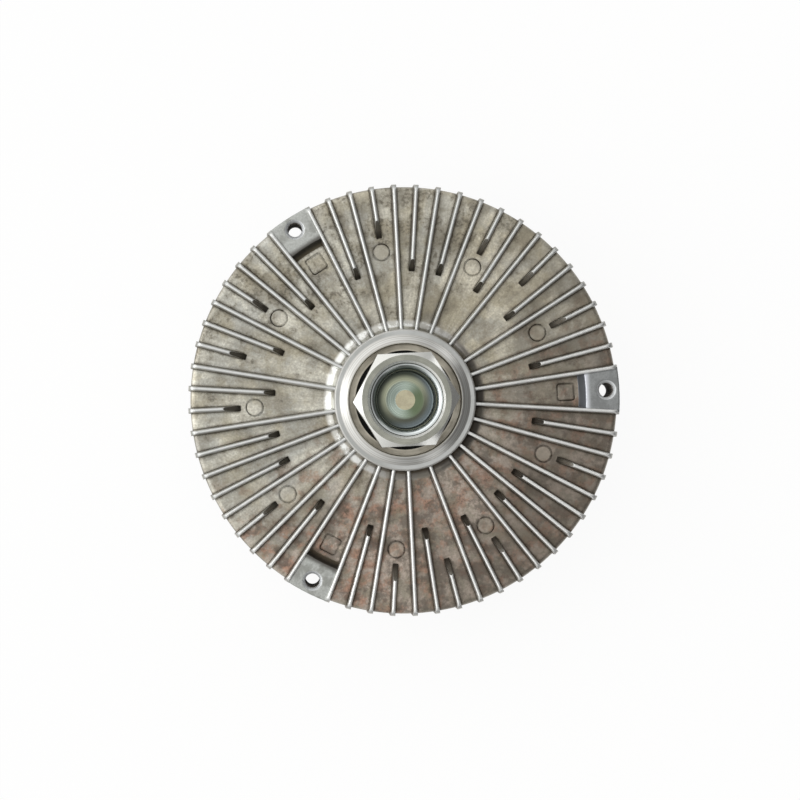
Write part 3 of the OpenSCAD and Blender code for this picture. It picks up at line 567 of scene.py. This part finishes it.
# %% The housing's roughness and relief
def casting_surface(t, pattern, zone):
    land = add(t, "Math", [(0, zone.boss), (1, zone.pad)], operation="MAXIMUM")
    shiny = add(t, "Math", [(0, zone.crest), (1, land)], operation="MAXIMUM")
    in_fillet = add(t, "Math", [(0, 1.0), (1, zone.past_fillet)], operation="SUBTRACT")
    shiny = add(t, "Math", [(0, shiny), (1, in_fillet)], operation="MAXIMUM")
    below_mouth = add(t, "Math", [(0, 1.0), (1, zone.hole_mouth)], operation="SUBTRACT")
    threaded = add(t, "Math", [(0, zone.hole), (1, below_mouth)], operation="MULTIPLY")
    rough = add(t, "MapRange", [(0, pattern.stains), (1, 0.3), (2, 0.7), (3, 0.42), (4, 0.56)])
    for mask, value in [(shiny, 0.3), (zone.within_lip, 0.5), (threaded, 0.95)]:
        rough = add(t, "Mix", [(0, mask), (2, rough), (3, value)], **NUMBER)

    rounding = add(t, "Mix", [(0, zone.boss), (2, 0.0008), (3, 0.0003)], **NUMBER)
    edge = add(t, "Bevel", [("Radius", rounding)], samples=4)
    height = add(t, "Math", [(0, pattern.grain), (1, pattern.stains)], operation="ADD")
    depth = add(t, "Mix", [(0, shiny), (2, 0.5), (3, 0.15)], **NUMBER)
    relief = add(t, "Bump", [("Strength", depth), ("Distance", 0.00012), ("Height", height),
                             ("Normal", edge)])
    return rough, relief


# %% The housing's finish
def die_cast_aluminium_housing():
    material, t, place, mm = new_material("die_cast_aluminium_housing")
    at = housing_places(t, place, mm)
    pattern = casting_patterns(t, mm)
    zone = fin_zones(t, mm, at, pattern)
    land_zones(t, at, zone)
    plate = clean_plate(t, mm, at, pattern)
    plate = stained_plate(t, at, pattern, zone, plate)
    plate = specked_and_shaded_plate(t, mm, at, pattern, plate)
    skin = fin_colours(t, at, pattern, zone, plate)
    skin = land_colours(t, at, pattern, zone, skin)
    rough, relief = casting_surface(t, pattern, zone)
    shader = add(t, "BsdfPrincipled", [("Base Color", skin), ("Metallic", 1.0), ("Roughness", rough),
                                       ("Normal", relief)])
    add(t, "OutputMaterial", [("Surface", shader)])
    print("housing finish of", len(t.nodes), "nodes")
    return material


give("rear_housing", die_cast_aluminium_housing())


# %% [markdown]
# ## Die-cast aluminium of the cover
# The cover on the front comes from the same kind of die as the housing, but the wind of the radiator has
# kept it cleaner: pale plate, silver fin crests, and painted shade only in the corners between them.

# %% The cover's finish
def die_cast_aluminium_cover():
    material, t, _, mm = new_material("die_cast_aluminium_cover")
    z = add(t, "SeparateXYZ", [(0, mm)]).outputs["Z"]
    clouds = add(t, "TexNoise", [("Vector", mm), ("Scale", 1 / 20), ("Detail", 4.0), ("Roughness", 0.6)])
    stains = add(t, "TexNoise", [("Vector", mm), ("Scale", 1 / 6), ("Detail", 6.0), ("Roughness", 0.66)])
    grain = add(t, "TexNoise", [("Vector", mm), ("Scale", 1 / 0.8), ("Detail", 3.0), ("Roughness", 0.6)])
    cloud = add(t, "MapRange", [(0, clouds), (1, 0.4), (2, 0.6)], **SMOOTH)
    stain = add(t, "MapRange", [(0, stains), (1, 0.44), (2, 0.62)], **SMOOTH)
    grit = add(t, "MapRange", [(0, grain), (1, 0.35), (2, 0.65), (3, 0.0), (4, 0.3)])
    # painted shade in the corners between the fins, where the Ambient Occlusion node finds them
    shelter = add(t, "AmbientOcclusion", [("Distance", 0.003)], samples=4, only_local=True).outputs["AO"]
    painted_shade = add(t, "MapRange", [(0, shelter), (1, 0.4), (2, 0.9), (3, 1.0), (4, 0.0)])
    skin = add(t, "Mix", [(0, cloud), (6, linear("#B5B3AA")), (7, linear("#9A978D"))], **COLOUR)
    skin = coat(t, skin, [(stain, 0.5, "#878073"), (grit, 1.0, "#78736A"), (painted_shade, 0.65, "#4F4A40")])
    crest = add(t, "MapRange", [(0, z), (1, 0.4), (2, 1.1), (3, 1.0), (4, 0.0)], **SMOOTH)
    silver = add(t, "Mix", [(0, grit), (6, linear("#C6C6C3")), (7, linear("#8E8C88"))], **COLOUR)
    skin = add(t, "Mix", [(0, crest), (6, skin), (7, silver)], **COLOUR)

    rough = add(t, "MapRange", [(0, stains), (1, 0.3), (2, 0.7), (3, 0.4), (4, 0.54)])
    rough = add(t, "Mix", [(0, crest), (2, rough), (3, 0.32)], **NUMBER)
    height = add(t, "Math", [(0, grain), (1, stains)], operation="ADD")
    edge = add(t, "Bevel", [("Radius", 0.0005)], samples=4)
    relief = add(t, "Bump", [("Strength", 0.3), ("Distance", 0.00012), ("Height", height), ("Normal", edge)])
    shader = add(t, "BsdfPrincipled", [("Base Color", skin), ("Metallic", 1.0), ("Roughness", rough),
                                       ("Normal", relief)])
    add(t, "OutputMaterial", [("Surface", shader)])
    return material


give("front_cover", die_cast_aluminium_cover())


# %% [markdown]
# ## Zinc-plated steel of the shaft: face and bore
# The shaft is turned from steel bar, its end milled to a hexagon and plated with zinc. Plating leaves a
# silver to olive skin with fine rings from the lathe under it, bright on the chamfers. From its mouth to
# its foot the bore has a grey-green wall, a dull floor, a step and a plain spot. Where the bath could not
# drain, at its foot, a greenish film lies. Each ring of the bore is painted bright on one side and dark on
# the other, as light and shade, its floor's outer corner is painted dark as shade, and its mouth has a
# painted highlight ring and a thin line of painted shade.

# %% Colours of the shaft's face
def shaft_face(t, up, cloud, ring):
    face = add(t, "Mix", [(0, cloud), (6, linear("#A5A59B")), (7, linear("#909188"))], **COLOUR)
    slanted = add(t, "MapRange", [(0, up), (1, 0.3), (2, 0.5)], **SMOOTH)
    not_level = add(t, "MapRange", [(0, up), (1, 0.93), (2, 0.98), (3, 1.0), (4, 0.0)], **SMOOTH)
    chamfer = add(t, "Math", [(0, slanted), (1, not_level)], operation="MULTIPLY")
    return coat(t, face, [(ring, 0.45, "#77776E"), (chamfer, 1.0, "#CECECA")])


# %% Colours of the shaft's bore
# painted light and shade: the bore's rings are painted bright towards these sides and dark away from them
SHEEN_SIDE = (0.87, -0.49, 0.0)
FLOOR_LIT_SIDE = (-0.35, 0.94, 0.0)
STEP_LIT_SIDE = (-0.96, 0.28, 0.0)


def shaft_bore(t, r, outward, ring, filmy):
    sheen = add(t, "VectorMath", [(0, outward), (1, SHEEN_SIDE)], **DOT).outputs["Value"]
    sheen = add(t, "MapRange", [(0, sheen), (1, -0.4), (2, 0.8)], **SMOOTH)
    floor_lit = add(t, "VectorMath", [(0, outward), (1, FLOOR_LIT_SIDE)], **DOT).outputs["Value"]
    floor_lit = add(t, "MapRange", [(0, floor_lit), (1, -1.0), (2, 0.9)], **SMOOTH)
    step_lit = add(t, "VectorMath", [(0, outward), (1, STEP_LIT_SIDE)], **DOT).outputs["Value"]
    step_lit = add(t, "MapRange", [(0, step_lit), (1, -0.9), (2, 0.95)], **SMOOTH)

    # each ring of the bore, from the spot in its middle to its mouth
    spot = add(t, "Mix", [(0, filmy), (6, linear("#B5AF95")), (7, linear("#AAA38B"))], **COLOUR)
    # painted light and shade on the step
    step = add(t, "Mix", [(0, step_lit), (6, linear("#525C46")), (7, linear("#EAFBEE"))], **COLOUR)
    step = coat(t, step, [(ring, 0.4, "#5F6C5A")])
    # painted light and shade on the floor
    ground = add(t, "Mix", [(0, floor_lit), (6, linear("#4D4F45")), (7, linear("#A2A58E"))], **COLOUR)
    ground = coat(t, ground, [(ring, 0.4, "#63665C")])
    # painted shade in the floor's outer corner, lighter on the side of the sheen
    corner = add(t, "Mix", [(0, sheen), (6, linear("#40443C")), (7, linear("#697275"))], **COLOUR)
    to_corner = add(t, "MapRange", [(0, r), (1, THREAD_R - 3.2), (2, THREAD_R - 0.9)], **SMOOTH)
    ground = add(t, "Mix", [(0, to_corner), (6, ground), (7, corner)], **COLOUR)
    # painted reflection on the lead-in, bright on one side and dark on the other
    lead_in = add(t, "Mix", [(0, sheen), (6, linear("#777C78")), (7, linear("#D6DCDC"))], **COLOUR)
    to_lead = add(t, "MapRange", [(0, r), (1, THREAD_R + 0.2), (2, THREAD_R + 0.7)], **SMOOTH)
    wall = add(t, "Mix", [(0, to_lead), (6, linear("#7E847F")), (7, lead_in)], **COLOUR)

    bore = spot
    for start, end, colour in [
            (SPOT_R - 0.1, SPOT_R + 0.1, step),
            (STEP_R - 0.9, STEP_R + 0.5, ground),
            (THREAD_R - 0.6, THREAD_R - 0.2, wall)]:
        past = add(t, "MapRange", [(0, r), (1, start), (2, end)], **SMOOTH)
        bore = add(t, "Mix", [(0, past), (6, bore), (7, colour)], **COLOUR)
    # painted highlight: a bright ring just inside the mouth
    rim = add(t, "Math", [(0, r), (1, LEAD_IN_R - 0.45), (2, 0.25)], operation="COMPARE")
    return add(t, "Mix", [(0, rim), (6, bore), (7, linear("#BCC0C0"))], **COLOUR)


# %% [markdown]
# ## Zinc-plated steel of the shaft: thread and finish
# The thread in the bore is too fine for the solids, so a helix in the bump draws it: left-hand, 1.5 mm
# from crest to crest. Zinc is smooth, so the skin is shinier than the casting, but for the thread's wall.

# %% The shaft's thread
def left_hand_thread(t, x, y, z, on_wall):
    angle = add(t, "Math", [(0, y), (1, x)], operation="ARCTAN2")
    turn = add(t, "Math", [(0, angle), (1, 2 * math.pi)], operation="DIVIDE")
    climb = add(t, "Math", [(0, z), (1, 1 / THREAD_PITCH), (2, turn)], operation="MULTIPLY_ADD")
    tooth = add(t, "Math", [(0, climb), (1, 0.5)], operation="PINGPONG")
    tooth = add(t, "Math", [(0, tooth), (1, on_wall)], operation="MULTIPLY")
    above = add(t, "Math", [(0, z), (1, THREAD_FOOT_Z)], operation="GREATER_THAN")
    return add(t, "Math", [(0, tooth), (1, above)], operation="MULTIPLY")


# %% The shaft's finish
def zinc_plated_steel_shaft():
    material, t, place, mm = new_material("zinc_plated_steel_shaft")
    x, y, z = add(t, "SeparateXYZ", [(0, mm)]).outputs
    up = add(t, "SeparateXYZ", [(0, place.outputs["Normal"])]).outputs["Z"]
    flat = add(t, "VectorMath", [(0, mm), (1, (1, 1, 0))], operation="MULTIPLY")
    r = add(t, "VectorMath", [(0, flat)], operation="LENGTH").outputs["Value"]
    outward = add(t, "VectorMath", [(0, flat)], operation="NORMALIZE")
    clouds = add(t, "TexNoise", [("Vector", mm), ("Scale", 1 / 7), ("Detail", 4.0), ("Roughness", 0.6)])
    film = add(t, "TexNoise", [("Vector", mm), ("Scale", 1 / 3), ("Detail", 5.0), ("Roughness", 0.65)])
    turns = add(t, "CombineXYZ", [(0, r), (1, z)])
    rings = add(t, "TexNoise", [("Vector", turns), ("Scale", 1 / 0.5), ("Detail", 3.0), ("Roughness", 0.7)])
    ring = add(t, "MapRange", [(0, rings), (1, 0.35), (2, 0.65)], **SMOOTH)
    cloud = add(t, "MapRange", [(0, clouds), (1, 0.36), (2, 0.64)], **SMOOTH)
    filmy = add(t, "MapRange", [(0, film), (1, 0.38), (2, 0.62)], **SMOOTH)

    face = shaft_face(t, up, cloud, ring)
    bore = shaft_bore(t, r, outward, ring, filmy)
    in_bore = add(t, "Math", [(0, r), (1, LEAD_IN_R)], operation="LESS_THAN")
    colour = add(t, "Mix", [(0, in_bore), (6, face), (7, bore)], **COLOUR)
    # painted shade: a thin dark line at the edge of the mouth
    seam = add(t, "Math", [(0, r), (1, LEAD_IN_R), (2, 0.16)], operation="COMPARE")
    colour = add(t, "Mix", [(0, seam), (6, colour), (7, linear("#4E514B"))], **COLOUR)

    on_wall = add(t, "Math", [(0, r), (1, THREAD_R), (2, 0.12)], operation="COMPARE")
    tooth = left_hand_thread(t, x, y, z, on_wall)
    edge = add(t, "Bevel", [("Radius", 0.0003)], samples=4)
    thread = add(t, "Bump", [("Strength", 0.8), ("Distance", 0.0012), ("Height", tooth), ("Normal", edge)])
    lathe = add(t, "Bump", [("Strength", 0.25), ("Distance", 0.00008), ("Height", rings), ("Normal", thread)])
    rough = add(t, "MapRange", [(0, clouds), (1, 0.3), (2, 0.7), (3, 0.16), (4, 0.28)])
    rough = add(t, "Mix", [(0, on_wall), (2, rough), (3, 0.4)], **NUMBER)
    shader = add(t, "BsdfPrincipled", [("Base Color", colour), ("Metallic", 1.0), ("Roughness", rough),
                                       ("Normal", lathe)])
    add(t, "OutputMaterial", [("Surface", shader)])
    return material


give("input_shaft", zinc_plated_steel_shaft())


# %% [markdown]
# ## The finishes of the other metal pieces
# The other pieces use a shorter recipe: a base colour with clouds and grain of their own size, or rings
# from turning. Each is named for what it is and how it was made.

# %% A plain metal finish with clouds and grain
def worked_metal(name, light, dark, cloud_mm, grain_mm, roughness, ring_mm=None):
    material, t, _, mm = new_material(name)
    clouds = add(t, "TexNoise", [("Vector", mm), ("Scale", 1 / cloud_mm), ("Detail", 4.0),
                                 ("Roughness", 0.6)])
    if ring_mm:
        flat = add(t, "VectorMath", [(0, mm), (1, (1, 1, 0))], operation="MULTIPLY")
        r = add(t, "VectorMath", [(0, flat)], operation="LENGTH").outputs["Value"]
        turns = add(t, "CombineXYZ", [(0, r)])
        grain = add(t, "TexNoise", [("Vector", turns), ("Scale", 1 / ring_mm), ("Detail", 3.0),
                                    ("Roughness", 0.7)])
    else:
        grain = add(t, "TexNoise", [("Vector", mm), ("Scale", 1 / grain_mm), ("Detail", 3.0),
                                    ("Roughness", 0.6)])
    share = add(t, "Math", [(0, clouds), (1, grain)], operation="ADD")
    share = add(t, "MapRange", [(0, share), (1, 0.7), (2, 1.3)], **SMOOTH)
    colour = add(t, "Mix", [(0, share), (6, linear(light)), (7, linear(dark))], **COLOUR)
    rough = add(t, "MapRange", [(0, share), (3, roughness - 0.06), (4, roughness + 0.08)])
    relief = add(t, "Bump", [("Strength", 0.25), ("Distance", 0.00008), ("Height", grain)])
    shader = add(t, "BsdfPrincipled", [("Base Color", colour), ("Metallic", 1.0), ("Roughness", rough),
                                       ("Normal", relief)])
    add(t, "OutputMaterial", [("Surface", shader)])
    return material


# %% Turned, ground, pressed and blackened pieces
give("drive_disc", worked_metal("turned_aluminium_disc", "#B9BBBC", "#94979A", 12, 0.8, 0.36, ring_mm=0.5))
give("valve_shaft", worked_metal("turned_steel_pin", "#BDBBB4", "#97958E", 6, 0.5, 0.3, ring_mm=0.35))
ground_steel = worked_metal("ground_bearing_steel", "#BEB8AA", "#938D80", 8, 0.6, 0.4, ring_mm=0.6)
for piece in ("bearing_outer_ring", "bearing_inner_ring"):
    give(piece, ground_steel)
give("bearing_balls", worked_metal("polished_bearing_steel", "#CFCFCE", "#A9A9A8", 5, 0.6, 0.14))
give("bearing_cage", worked_metal("pressed_brass", "#B99557", "#8E6E3C", 5, 0.6, 0.36))
pressed_steel = worked_metal("pressed_sheet_steel", "#BDBAAE", "#96938A", 14, 0.7, 0.36)
for piece in ("divider_plate", "divider_rivets", "pump_dam", "valve_lever"):
    give(piece, pressed_steel)
black_spring = worked_metal("blackened_spring_steel", "#5E5B55", "#3B3935", 4, 0.5, 0.42)
for piece in ("disc_ring", "valve_clip"):
    give(piece, black_spring)


# %% [markdown]
# ## Rubber of the seals
# The seals are moulded from black nitrile rubber. It is matt, because the mould is blasted, and dust dulls
# it further, so its gloss is set low and its colour wanders a little between black and dark grey.

# %% The seals' finish
def moulded_nitrile_rubber():
    material, t, _, mm = new_material("moulded_nitrile_rubber")
    clouds = add(t, "TexNoise", [("Vector", mm), ("Scale", 1 / 3), ("Detail", 5.0)])
    colour = add(t, "Mix", [(0, clouds), (6, linear("#080808")), (7, linear("#171614"))], **COLOUR)
    rough = add(t, "MapRange", [(0, clouds), (3, 0.68), (4, 0.88)])
    relief = add(t, "Bump", [("Strength", 0.2), ("Distance", 0.00005), ("Height", clouds)])
    shader = add(t, "BsdfPrincipled", [("Base Color", colour), ("Roughness", rough), ("IOR", 1.52),
                                       ("Specular IOR Level", 0.25), ("Normal", relief)])
    add(t, "OutputMaterial", [("Surface", shader)])
    return material


rubber = moulded_nitrile_rubber()
for piece in ("cover_seal", "bearing_rear_seal", "bearing_front_seal", "valve_seal"):
    give(piece, rubber)

# %% [markdown]
# ## The bimetal coil
# The coil on the front is a strip of two metals rolled together. Warm air from the radiator winds it up,
# and its inner end turns the valve. One end is held by the cover and the other by the shaft, so the strip
# can't ride on one of them: each point has to turn by its own share. That share grows along the strip. The
# strip is first laid out straight and wound up afterwards, along half turns that widen by half a pitch each.

# %% The coil's path
COIL_Z = (2.7, 7.7)
COIL_T = 0.9
COIL_R = 5.2
COIL_PITCH = 2.6
COIL_HALVES = 11
TAB_IN = -3.0
TAB_OUT = -22.2
TAB_POINTS = 14
TAB_SPACING = 0.5
TAB_BEND = 1.6
TAB_STEPS = 4
FIRST_DEG = 14
LAST_DEG = 175
STEP_DEG = 6


def bend(a, corner, b, count=8):
    """Points of a rounded corner from a to b."""
    points = []
    for i in range(count + 1):
        k = i / count
        weights = ((1 - k) ** 2, 2 * k * (1 - k), k ** 2)
        points.append(tuple(sum(w * v for w, v in zip(weights, values)) for values in zip(a, corner, b)))
    return points


def half_turn(i, start_deg, end_deg):
    centre = 0.0 if i % 2 == 0 else COIL_PITCH / 2
    radius = COIL_R + i * COIL_PITCH / 2
    count = max(1, round((end_deg - start_deg) / STEP_DEG))
    angles = [math.radians(start_deg + (end_deg - start_deg) * k / count) for k in range(count + 1)]
    return [(centre + radius * math.cos(a), radius * math.sin(a)) for a in angles]


last = COIL_HALVES - 1
arcs = half_turn(0, FIRST_DEG, 180)
for i in range(1, COIL_HALVES):
    first = 180 * (i % 2)
    arcs += half_turn(i, first, first + (LAST_DEG if i == last else 180))[1:]
path = [(TAB_IN + TAB_SPACING * k, 0.0) for k in range(TAB_POINTS)]
path += bend(path[-1], (COIL_R, 0.0), arcs[0])[1:-1] + arcs
tab_start = (-(COIL_R + last * COIL_PITCH / 2) - TAB_BEND, 0.0)
path += bend(arcs[-1], (arcs[-1][0] - 0.05, 0.0), tab_start)[1:]
tab_length = TAB_OUT - tab_start[0]
path += [(tab_start[0] + tab_length * k / TAB_STEPS, 0.0) for k in range(1, TAB_STEPS + 1)]
reach = [0.0]
for a, b in zip(path, path[1:]):
    reach.append(reach[-1] + math.dist(a, b))
print("strip of", len(path), "points,", round(reach[-1], 1), "mm long")

# %% The strip, laid out straight
EDGE = 0.12
low, high = COIL_Z
half = COIL_T / 2
profile = [(-half, low + EDGE), (-half + EDGE, low), (half - EDGE, low), (half, low + EDGE),
           (half, high - EDGE), (half - EDGE, high), (-half + EDGE, high), (-half, high - EDGE)]
ring = len(profile)
points = [(s / 1000, a / 1000, b / 1000) for s in reach for a, b in profile]
faces = []
for k in range(len(path) - 1):
    for j in range(ring):
        n = (j + 1) % ring
        faces.append((k * ring + j, (k + 1) * ring + j, (k + 1) * ring + n, k * ring + n))
faces.append(tuple(range(ring)))
faces.append(tuple(reversed(range((len(path) - 1) * ring, len(path) * ring))))
coil_mesh = bpy.data.meshes.new("coil_strip")
coil_mesh.from_pydata(points, [], faces)
coil = bpy.data.objects.new("coil_strip", coil_mesh)
scene.collection.objects.link(coil)
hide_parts("bimetal_coil")

# the strip starts to bend past the 14 points of its inner tab, and its last 5 mm are held by the cover
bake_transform(coil)
print("straight strip of", len(faces), "faces")

# %% The strip, wound up
for k, (px, py) in enumerate(path):
    ax, ay = path[max(k - 1, 0)]
    bx, by = path[min(k + 1, len(path) - 1)]
    length = math.hypot(bx - ax, by - ay)
    side_x, side_y = (by - ay) / length, -(bx - ax) / length
    for j, (a, b) in enumerate(profile):
        coil_mesh.vertices[k * ring + j].co = ((px + a * side_x) / 1000, (py + a * side_y) / 1000, b / 1000)
coil_mesh.update()
print("coil wound out to", round(max(math.hypot(x, y) for x, y in path), 1), "mm from the axis")

# %% The strip's two metals
STEEL_SIDES = (6, 7)
coil_mesh.materials.append(worked_metal("rolled_brass_side", "#C09763", "#8F6F4B", 6, 0.5, 0.32))
coil_mesh.materials.append(worked_metal("rolled_steel_side", "#A7A29A", "#7F7A73", 6, 0.5, 0.34))
for polygon in coil_mesh.polygons:
    polygon.use_smooth = False
    polygon.material_index = 1 if polygon.index % ring in STEEL_SIDES else 0
print("coil:", len(coil_mesh.polygons), "faces")
